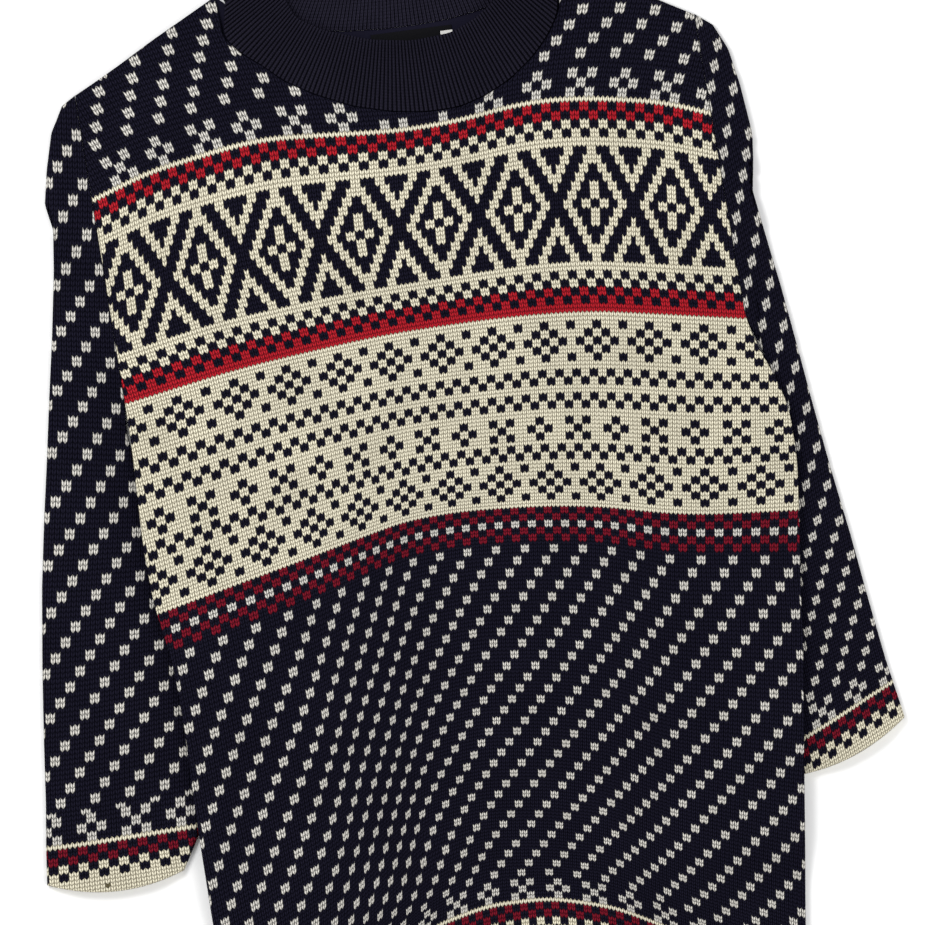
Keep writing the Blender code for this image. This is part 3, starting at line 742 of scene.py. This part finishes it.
# Where share s across the flat section at t lies, with the body's lift and the puff there
def sleeveSpot(rows, t, s, inset=0.0):
    side = 1.0 if rows[0, 0] > 0 else -1.0
    ox, oy, ix, iy, lifted, bow = sleeveLine(rows, t)
    width = np.hypot(ix - ox, iy - oy)
    s = inset / width + s * (1.0 - 2.0 * inset / width)
    downX, downY = (iy - oy) / width * side, (ox - ix) / width * side
    turned = np.where(downY > 0, -1.0, 1.0)
    downX, downY = downX * turned, downY * turned
    swing = bow * (1.0 - (2.0 * s - 1.0) ** 2)
    x = ox + (ix - ox) * s + downX * swing
    y = oy + (iy - oy) * s + downY * swing
    x = x + side * body["seamGap"] * np.clip(1.0 - t, 0.0, 1.0)
    rootX = rows[0, 0] + (rows[0, 2] - rows[0, 0]) * s
    rootY = rows[0, 1] + (rows[0, 3] - rows[0, 1]) * s
    left, right = bodyEdges(y)
    clear = (x - right) if side > 0 else (left - x)
    free = ease((clear - sleeve["puffClear"]) / sleeve["puffSlope"]) * ease(t / sleeve["puffSections"])
    edge = np.minimum(s, 1.0 - s) * width / sleeve["puffEdge"]
    return x, y, lifted * tuck(rootX, rootY), sleeve["puff"] * free * ease(edge), width


def sleeveYarn(column, row, line, peaks):
    yarn = np.full(column.shape, navy)
    yarn[(row < line - 6) & fleckAt(column, row)] = pale
    yarn[checks(column, row, ringMark, period["mark"], peaks[0], line - 6)] = pale
    yarn[checks(column, row, crossMark, period["mark"], peaks[1], line - 6)] = pale
    yarn[row == line] = cream
    checkRows(yarn, column, row, line + 1, [(wine, navy), (navy, wine), (cream, navy), (navy, cream)])
    yarn[row >= line + 9] = cream
    return yarn


# The flat sleeve's edge as places along and across it, and where they lie
def sleeveOutline(rows):
    last = len(rows) - 1.0
    long, wide = sleeve["edgeSteps"]
    along, across = np.linspace(0.0, last, long + 1), np.linspace(0.0, 1.0, wide + 1)
    t = np.concatenate([along[:-1], np.full(wide, last), along[::-1][:-1], np.zeros(wide)])
    s = np.concatenate([np.zeros(long), across[:-1], np.ones(long), across[::-1][:-1]])
    x, y = sleeveSpot(rows, t, s)[:2]
    return np.stack([x, y], axis=-1), t, s


# Places along and across the sleeve for flat places: the nearest of a coarse net, then nearer each round
def sleevePlaces(rows, spots):
    long, wide = sleeve["searchSteps"]
    t, s = np.meshgrid(np.linspace(0.0, len(rows) - 1.0, long), np.linspace(0.0, 1.0, wide))
    t, s = t.ravel(), s.ravel()
    x, y = sleeveSpot(rows, t, s)[:2]
    best = np.concatenate([
        ((part[:, :1] - x) ** 2 + (part[:, 1:] - y) ** 2).argmin(1)
        for part in np.array_split(spots, sleeve["searchParts"])])
    t, s = t[best], s[best]
    small = sleeve["nudge"]
    farT, farS = sleeve["searchReach"]
    for _ in range(sleeve["searchRounds"]):
        x0, y0 = sleeveSpot(rows, t, s)[:2]
        xt, yt = sleeveSpot(rows, t + small, s)[:2]
        xs, ys = sleeveSpot(rows, t, s + small)[:2]
        a, b, c, d = (xt - x0) / small, (xs - x0) / small, (yt - y0) / small, (ys - y0) / small
        fault = a * d - b * c
        fault = np.where(np.abs(fault) < 1.0, 1.0, fault)
        ex, ey = spots[:, 0] - x0, spots[:, 1] - y0
        t = np.clip(t + np.clip((d * ex - b * ey) / fault, -farT, farT), 0.0, len(rows) - 1.0)
        s = np.clip(s + np.clip((a * ey - c * ex) / fault, -farS, farS), 0.0, 1.0)
    return t, s


# Height of the upper (1) or lower (-1) layer, and of the inner faces where thin is the wall
def sleeveHeight(rows, t, s, layer, thin):
    _, _, base, puff, width = sleeveSpot(rows, t, s)
    edge = np.minimum(s, 1.0 - s) * width / sleeve["edgeRound"]
    bulge = np.sqrt(1.0 - (1.0 - np.clip(edge, sleeve["edgeLow"], 1.0)) ** 2)
    half = sleeve["flat"] / 2
    return base + half + layer * bulge * (half - thin) + (puff * bulge if layer > 0 else 0.0)


def knitSleeve(name, node, knit):
    rows = knit["rows"]
    outline, edgeT, edgeS = sleeveOutline(rows)
    grid = stitchField(knit["stations"], knit["rowRange"], knit["columnRange"])
    flat, faces, stitchMap, ri, ci, loop, distances = clippedSheet(grid, outline)
    column, row = ci // 2 + knit["columnRange"][0], ri + knit["rowRange"][0]
    yarn = sleeveYarn(column, row, knit["lineRow"], knit["peaks"])
    if "stain" in knit:
        yarn[(column == knit["stain"][0]) & (row == knit["stain"][1])] = stained
    walk = walkAlong(np.vstack([outline, outline[:1]]))
    at = np.mod(distances, walk[-1])
    loopT, loopS = (np.interp(at, walk, np.append(edge, edge[0])) for edge in (edgeT, edgeS))
    wall = body["wall"]
    rim = np.stack(sleeveSpot(rows, loopT, loopS, wall)[:2], axis=-1)
    places, triangles, twin = plainSheet(rim, sleeve["rimSpacing"])
    t, s = sleevePlaces(rows, flat)
    innerT, innerS = sleevePlaces(rows, places)
    cloth = Cloth()
    outer, inner = [], []
    for layer in (1, -1):
        height = sleeveHeight(rows, t, s, layer, 0.0)
        outer.append(cloth.add(np.column_stack([flat, height]), faces, yarn, stitchMap) + np.array(loop))
    for layer in (1, -1):
        height = sleeveHeight(rows, innerT, innerS, layer, wall)
        inner.append(cloth.add(np.column_stack([places, height]), triangles) + np.array(twin))
    atRoot = loopT < sleeve["atEnd"]
    atCuff = loopT > len(rows) - 1.0 - sleeve["atEnd"]
    opening = (atRoot & np.roll(atRoot, -1)) | (atCuff & np.roll(atCuff, -1))
    closeSleeve(cloth, outer, inner, opening, np.where(atCuff, cream, navy))
    piece = cloth.make(name)
    print("knitted", name, len(piece.data.polygons), "faces")
    declareSleeve(piece, node)


# The two layers joined at the long edges, and each layer's wall closed round both openings
def closeSleeve(cloth, outer, inner, opening, rimYarn):
    (up, low), (upIn, lowIn) = outer, inner
    for k in range(len(up)):
        after = (k + 1) % len(up)
        if opening[k]:
            cloth.addFace([up[k], up[after], upIn[after], upIn[k]], rimYarn[k])
            cloth.addFace([low[k], low[after], lowIn[after], lowIn[k]], rimYarn[k])
        else:
            cloth.addFace([up[k], up[after], low[after], low[k]])
            cloth.addFace([upIn[k], upIn[after], lowIn[after], lowIn[k]])
        if opening[k] != opening[k - 1]:
            cloth.addFace([up[k], low[k], lowIn[k], upIn[k]])


def declareSleeve(piece, node):
    dress(piece, node)


# Collar: a folded rib, one ring with its rim open
collar = {
    "wall": 4.4, "clear": 0.6, "rise": 7.0, "frontRibs": 104, "backRibs": 84, "ribHeight": 0.5,
    "foldInset": 6.5, "cornerDrop": 5.0, "cornerClear": 4.0,
    "frontSeamInset": 0.5, "frontSeamTop": 340.0, "backSeamInset": 0.25, "neckCentre": (4.0, 345.0),
    "foldSteps": 8, "segments": 6, "levels": 24, "pathSteps": 400, "pathEase": 9,
    "risePower": 0.7, "riseLow": 0.15,  # how the front swells towards the middle and the rim
    "nearRim": 0.95, "nearRimWall": 0.85, "rimWall": 0.5,  # shares of the wall left by the rounded rim
    "foldRib": 0.3, "innerRib": 0.6, "innerLeast": 0.1, "rimMap": (0.4, 0.6),
    "frontRim": [(-76, 371), (-72, 348), (-66, 333), (-48, 322), (-16, 311), (13, 306.5), (41, 308.5),
                 (60, 317), (76, 329), (83, 346), (85, 367)],
    "backRim": [(-76, 371), (-40, 374), (7, 374), (50, 372), (85, 367)],
}


def alongPath(path, shares, eased=True):
    path = np.array(path, float)
    walk = walkAlong(path)
    walk /= walk[-1]
    dense = np.linspace(0.0, 1.0, collar["pathSteps"])
    line = np.stack([np.interp(dense, walk, path[:, k]) for k in (0, 1)], axis=-1)
    if eased:
        line = smoothed(line, 0, collar["pathEase"])
    return np.stack([np.interp(shares, dense, line[:, k]) for k in (0, 1)], axis=-1)


# The path moved towards the middle of the neck
def insetPath(path, distance):
    along = np.vstack([path[1:], path[-1:]]) - np.vstack([path[:1], path[:-1]])
    across = np.stack([-along[:, 1], along[:, 0]], axis=-1) / np.hypot(*along.T)[:, None]
    inward = np.sign((across * (np.array(collar["neckCentre"]) - path)).sum(-1))
    return path + across * (inward * distance)[:, None]


# Where the collar is sewn on and where its rim lies, in front and behind
def collarLines():
    neck = [row for row in bodyTop.tolist() if body["neck"][0] <= row[0] <= body["neck"][1]]
    cornerRight = (neck[0][0] + collar["foldInset"], neck[0][1] - collar["cornerDrop"])
    cornerLeft = (neck[-1][0] - collar["foldInset"], neck[-1][1] - collar["cornerDrop"])
    frontLine = insetPath(np.array(neck)[1:-1, :2], collar["frontSeamInset"])
    frontLine = [cornerRight] + [p for p in frontLine if p[1] < collar["frontSeamTop"]] + [cornerLeft]
    backLow, backHigh = cornerRight[0] + collar["cornerClear"], cornerLeft[0] - collar["cornerClear"]
    backLine = [(r[0], r[2] + collar["backSeamInset"]) for r in neck[1:-1] if backLow < r[0] < backHigh]
    backLine = [cornerRight] + backLine + [cornerLeft]
    frontShares = np.linspace(0.0, 1.0, collar["frontRibs"] * collar["segments"] + 1)
    backShares = np.linspace(1.0, 0.0, collar["backRibs"] * collar["segments"] + 1)
    return (alongPath(frontLine, frontShares), alongPath(collar["frontRim"], frontShares),
            alongPath(backLine, backShares, False), alongPath(collar["backRim"], backShares))


# The side fold at one end of the front: points and outward directions, from the front to the back
def collarFold(seam, rim, share, sign):
    radius = (collar["wall"] + collar["clear"]) / 2
    along = rim - seam
    out = np.array([along[1], -along[0]]) / math.hypot(*along)
    if out[0] * sign < 0:
        out = -out
    x, y = seam + along * share
    fold = []
    for step in range(1, collar["foldSteps"]):
        angle = math.pi * (0.5 - step / collar["foldSteps"])
        ca, sa = math.cos(angle), math.sin(angle)
        spot = (x + out[0] * radius * ca, y + out[1] * radius * ca, collar["wall"] / 2 + radius + radius * sa)
        fold.append((spot, (out[0] * ca, out[1] * ca, sa)))
    return fold


# Once round at a share of the collar's height: points in the middle of the wall, outward directions and place
# in the rib
def collarRing(lines, share):
    frontSeam, frontTop, backSeam, backTop = lines
    low = collar["wall"] / 2
    high = low + collar["wall"] + collar["clear"]
    swell = np.sin(math.pi * np.linspace(0.0, 1.0, len(frontSeam))) ** collar["risePower"]
    swell *= collar["rise"] * (collar["riseLow"] + (1.0 - collar["riseLow"]) * share)
    ring = []
    for k, (x, y) in enumerate(frontSeam + (frontTop - frontSeam) * share):
        ring.append((x, y, high + swell[k], 0, 0, 1, k / collar["segments"]))
    ring += [(*spot, *out, 0.0) for spot, out in collarFold(frontSeam[-1], frontTop[-1], share, 1)]
    for k, (x, y) in enumerate(backSeam + (backTop - backSeam) * share):
        ring.append((x, y, low, 0, 0, -1, k / collar["segments"]))
    ring += [(*spot, *out, 0.0) for spot, out in collarFold(frontSeam[0], frontTop[0], share, -1)[::-1]]
    ring = np.array(ring, float)
    return ring[:, :3], ring[:, 3:6], ring[:, 6]


# One ring of the collar's outer face (1) or inner face (-1)
def collarFace(lines, share, outward):
    spots, normals, phases = collarRing(lines, share)
    rolled = collar["nearRimWall"] if share > collar["nearRim"] else 1.0
    rolled = collar["rimWall"] if share == 1.0 else rolled
    half = collar["wall"] / 2 * rolled
    ridge = collar["ribHeight"] * -np.cos(2 * math.pi * phases) * rolled
    inFront, behind = normals[:, 2] > -0.1, normals[:, 2] < -0.99
    if outward > 0:
        ridge = np.where(inFront, ridge, np.minimum(ridge, 0.0) * collar["foldRib"])
        return spots + normals * (half + ridge)[:, None]
    inward = np.maximum(-ridge, -collar["innerLeast"]) * collar["innerRib"]
    return spots - normals * (half + np.where(behind, inward, 0.0))[:, None]


def buildCollar():
    lines = collarLines()
    heights = [k / collar["levels"] for k in range(collar["levels"] + 1)]
    points, rings = [], []
    for outward in (1, -1):
        rings.append([])
        for share in heights:
            ring = collarFace(lines, share, outward)
            rings[-1].append(range(len(points), len(points) + len(ring)))
            points.extend(ring.tolist())
    phases = collarRing(lines, 0.0)[2] % 1.0
    faces, stitchMap = [], []

    def strip(lower, upper, turned, v):
        for j in range(len(phases)):
            k = (j + 1) % len(phases)
            face = [lower[j], lower[k], upper[k], upper[j]]
            # across runs from 0 in a rib's valley, where the painted shade falls, to 1 on its crest
            u0 = 1 - abs(2 * phases[j] - 1)
            u1 = 1 - abs(2 * (phases[j] + 1.0 / collar["segments"]) - 1)
            uv = [(u0, v[0]), (u1, v[0]), (u1, v[1]), (u0, v[1])]
            faces.append(face[::-1] if turned else face)
            stitchMap.extend(uv[::-1] if turned else uv)

    for stack, turned in ((rings[0], False), (rings[1], True)):
        for lower, upper in zip(stack, stack[1:]):
            strip(lower, upper, turned, (0.0, 1.0))
    strip(rings[0][0], rings[1][0], True, collar["rimMap"])
    strip(rings[0][-1], rings[1][-1], False, collar["rimMap"])
    piece = makeObject("ribbedCollar", points, faces, [collarWool], None, stitchMap)
    dress(piece, "collar")
    print("ribbed", piece.name, len(faces), "faces")


# Neck label and the size tag on it, both plain: middle of the upper edge, size and height of the underside
label = {"name": "neckLabel", "node": "neck_label", "slot": "label_cloth",
         "top": (13.0, 314.0), "size": (57.0, 25.0, 0.6), "base": 3.1, "cuts": (12, 8)}
tag = {"name": "sizeTag", "node": "size_tag", "slot": "tag_cloth",
       "top": (37.5, 310.5), "size": (8.5, 16.0, 0.5), "base": 4.0, "cuts": (12, 8)}


def buildPlate(plate, material):
    (cx, top), (width, height, thick), base = plate["top"], plate["size"], plate["base"]
    points, faces = [], []
    across, down = plate["cuts"]
    for level in (0, 1):
        for i in range(down + 1):
            for j in range(across + 1):
                x, y = cx + width * (j / across - 0.5), top - height * i / down
                points.append((x, y, base + thick * level))
    layer = (across + 1) * (down + 1)
    for i in range(down):
        for j in range(across):
            a = i * (across + 1) + j
            faces.append([a, a + 1, a + across + 2, a + across + 1])
            faces.append([layer + a, layer + a + across + 1, layer + a + across + 2, layer + a + 1])
    rim = list(range(across + 1))
    rim += [i * (across + 1) + across for i in range(1, down + 1)]
    rim += [down * (across + 1) + j for j in range(across - 1, -1, -1)]
    rim += [i * (across + 1) for i in range(down - 1, 0, -1)]
    for a, b in zip(rim, rim[1:] + rim[:1]):
        faces.append([b, a, layer + a, layer + b])
    piece = makeObject(plate["name"], points, faces, [material])
    dress(piece, plate["node"])
    return piece


def buildLabels():
    neckLabel = buildPlate(label, labelCloth)
    sizeTag = buildPlate(tag, tagCloth)
    print("sewn in", neckLabel.name, "and", sizeTag.name)


buildBody()
knitSleeve("rightSleeve", "sleeve_right", sleeveKnit["right"])
knitSleeve("leftSleeve", "sleeve_left", sleeveKnit["left"])
buildCollar()
buildLabels()

# Floor, light and camera
studio = {
    "floorHalf": 3.0, "floorDrop": 0.0005, "floorShade": 0.90, "floorRoughness": 0.9, "skyStrength": 0.75,
    "lights": [("keyLight", (-0.9, 1.0, 2.0), 1.1, 34.0), ("fillLight", (1.4, -0.8, 2.2), 1.8, 24.0)],
    "cameraPlace": (0.0216, 0.0410, 2.0), "cameraTurn": -7.5, "frameWidth": 0.6475,
}


def plainFloor():
    mesh = bpy.data.meshes.new("floor")
    half = studio["floorHalf"]
    corners = [(-half, -half, 0), (half, -half, 0), (half, half, 0), (-half, half, 0)]
    mesh.from_pydata(corners, [], [(0, 1, 2, 3)])
    floor = bpy.data.objects.new("floor", mesh)
    floor.location.z = -studio["floorDrop"]
    bpy.context.scene.collection.objects.link(floor)
    shader = Shader("paleFloor")
    shade = studio["floorShade"]
    shader.surface.inputs["Base Color"].default_value = (shade, shade, shade, 1.0)
    shader.surface.inputs["Roughness"].default_value = studio["floorRoughness"]
    mesh.materials.append(shader.material)


def addLight(name, place, size, power):
    light = bpy.data.lights.new(name, "AREA")
    light.shape = "DISK"
    light.size = size
    light.energy = power
    holder = bpy.data.objects.new(name, light)
    holder.location = place
    x, y, z = place
    holder.rotation_euler = (math.atan2(math.hypot(x, y), z), 0.0, math.atan2(-y, -x) - math.pi / 2)
    bpy.context.scene.collection.objects.link(holder)


def lightAndCamera():
    for lamp in studio["lights"]:
        addLight(*lamp)
    world = bpy.data.worlds.new("studio")
    world.use_nodes = True
    sky = world.node_tree.nodes["Background"]
    sky.inputs[0].default_value = (1.0, 1.0, 1.0, 1.0)
    sky.inputs[1].default_value = studio["skyStrength"]
    scene = bpy.context.scene
    scene.world = world
    camera = bpy.data.cameras.new("camera")
    camera.type = "ORTHO"
    camera.ortho_scale = studio["frameWidth"]
    viewer = bpy.data.objects.new("camera", camera)
    viewer.location = studio["cameraPlace"]
    viewer.rotation_euler = (0.0, 0.0, math.radians(studio["cameraTurn"]))
    scene.collection.objects.link(viewer)
    scene.camera = viewer
    scene.view_settings.view_transform = "Standard"


plainFloor()
lightAndCamera()
print("floor, lights and camera placed")
